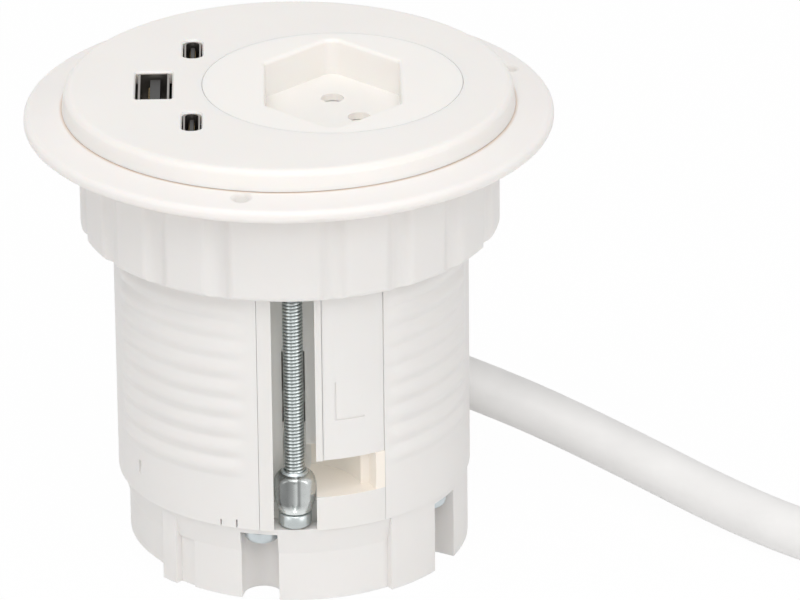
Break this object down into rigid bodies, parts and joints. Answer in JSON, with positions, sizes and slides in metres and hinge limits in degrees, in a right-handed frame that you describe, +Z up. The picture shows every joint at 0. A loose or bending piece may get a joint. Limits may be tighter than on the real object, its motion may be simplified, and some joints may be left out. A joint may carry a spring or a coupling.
{
  "type": "recessed desk power module",
  "caption": "Round recessed power module with a hexagonal socket well, charging ports, threaded body, ring nut, screw clamps and a cord.",
  "frame": {"origin": "centre of the bottom cap's underside, on the body's axis", "axes": "+Z up along the body's axis towards the cover, +X towards the cord's side, -Y the front with the clamp screw"},
  "size_m": [0.2916, 0.101, 0.0938],
  "materials": {
    "cover_white": "smooth satin moulding",
    "trim_white": "smooth satin moulding, slightly warmer",
    "body_white": "fine matte moulding",
    "liner_grey": "fine matte moulding",
    "insulator_white": "dense matte insulator",
    "contact_brass": "bright drawn",
    "zinc_steel": "zinc plated",
    "zinc_cast": "die cast, slightly rough",
    "port_metal": "nickel plated sheet",
    "port_black": "matte",
    "board_green": "lacquered laminate",
    "coil_amber": "taped winding",
    "can_aluminium": "sleeved can",
    "gland_rubber": "soft rubber",
    "cord_grey": "satin sheath",
    "wire_brown": "insulated strand",
    "wire_blue": "insulated strand",
    "wire_green": "insulated strand",
    "wire_red": "insulated strand",
    "connector_white": "fine matte moulding"
  },
  "bodies": {
    "housing": {"bottom_cap": "body_white", "cap_screws": "zinc_steel", "carrier_screws": "zinc_steel", "charger_board": "board_green", "charger_capacitors": "can_aluminium", "charger_chips": "port_black", "charger_leads": "wire_red", "charger_transformer": "coil_amber", "chassis": "liner_grey", "connector_body": "connector_white", "connector_pins": "contact_brass", "connector_relief": "connector_white", "contact_carrier": "insulator_white", "cord": "cord_grey", "cord_gland": "gland_rubber", "cord_strap": "insulator_white", "cord_strap_screw": "zinc_steel", "cord_tail": "cord_grey", "cover_disc": "cover_white", "earth_contact": "contact_brass", "earth_wire": "wire_green", "flange": "trim_white", "line_contact": "contact_brass", "line_wire": "wire_brown", "neutral_contact": "contact_brass", "neutral_wire": "wire_blue", "port_board": "board_green", "side_panel_back": "body_white", "side_panel_front": "body_white", "socket_insert": "cover_white", "terminal_block": "insulator_white", "terminal_screws": "zinc_steel", "thread_shell_left": "body_white", "thread_shell_right": "body_white", "usb_a_shell": "port_metal", "usb_a_tongue": "port_black", "usb_c_back_shell": "port_metal", "usb_c_back_tongue": "port_black", "usb_c_front_shell": "port_metal", "usb_c_front_tongue": "port_black"},
    "shutter": {"pin_shutter": "insulator_white"},
    "washer": {"slip_washer": "liner_grey"},
    "nut": {"ring_nut": "body_white"},
    "front_screw": {"clamp_screw_front": "zinc_steel", "retaining_clip_front": "zinc_steel"},
    "back_screw": {"clamp_screw_back": "zinc_steel", "retaining_clip_back": "zinc_steel"},
    "front_bush": {"clamp_bush_front": "zinc_steel"},
    "back_bush": {"clamp_bush_back": "zinc_steel"},
    "front_claw": {"clamp_claw_front": "zinc_cast"},
    "back_claw": {"clamp_claw_back": "zinc_cast"}
  },
  "joints": [
    {"name": "shutter_slide", "type": "slide", "parent": "housing", "child": "shutter", "axis": [1, 0, 0], "range_m": [0, 0.0048], "stiffness_N_per_m": 60, "springref_m": -0.004},
    {"name": "washer_slide", "type": "slide", "parent": "housing", "child": "washer", "axis": [0, 0, -1], "range_m": [0, 0.0164]},
    {"name": "nut_turn", "type": "hinge", "parent": "washer", "child": "nut", "pos_m": [0, 0, 0.075], "axis": [0, 0, -1], "range_deg": [0, 1440.1]},
    {"name": "front_screw_turn", "type": "hinge", "parent": "housing", "child": "front_screw", "pos_m": [0, -0.0312, 0.05], "axis": [0, 0, -1], "range_deg": [0, 10600]},
    {"name": "front_bush_slide", "type": "slide", "parent": "housing", "child": "front_bush", "axis": [0, 0, 1], "range_m": [0, 0.0206]},
    {"name": "front_claw_swing", "type": "hinge", "parent": "front_bush", "child": "front_claw", "pos_m": [0, -0.0312, 0.025], "axis": [0, 0, -1], "range_deg": [0, 180]},
    {"name": "back_screw_turn", "type": "hinge", "parent": "housing", "child": "back_screw", "pos_m": [0, 0.0312, 0.05], "axis": [0, 0, -1], "range_deg": [0, 10600]},
    {"name": "back_bush_slide", "type": "slide", "parent": "housing", "child": "back_bush", "axis": [0, 0, 1], "range_m": [0, 0.0206]},
    {"name": "back_claw_swing", "type": "hinge", "parent": "back_bush", "child": "back_claw", "pos_m": [0, 0.0312, 0.025], "axis": [0, 0, -1], "range_deg": [0, 180]}
  ],
  "couplings": [
    {"joint": "nut_turn", "follows": "washer_slide", "rad_per_m": 1532.5},
    {"joint": "front_screw_turn", "follows": "front_bush_slide", "rad_per_m": 8976},
    {"joint": "back_screw_turn", "follows": "back_bush_slide", "rad_per_m": 8976}
  ]
}
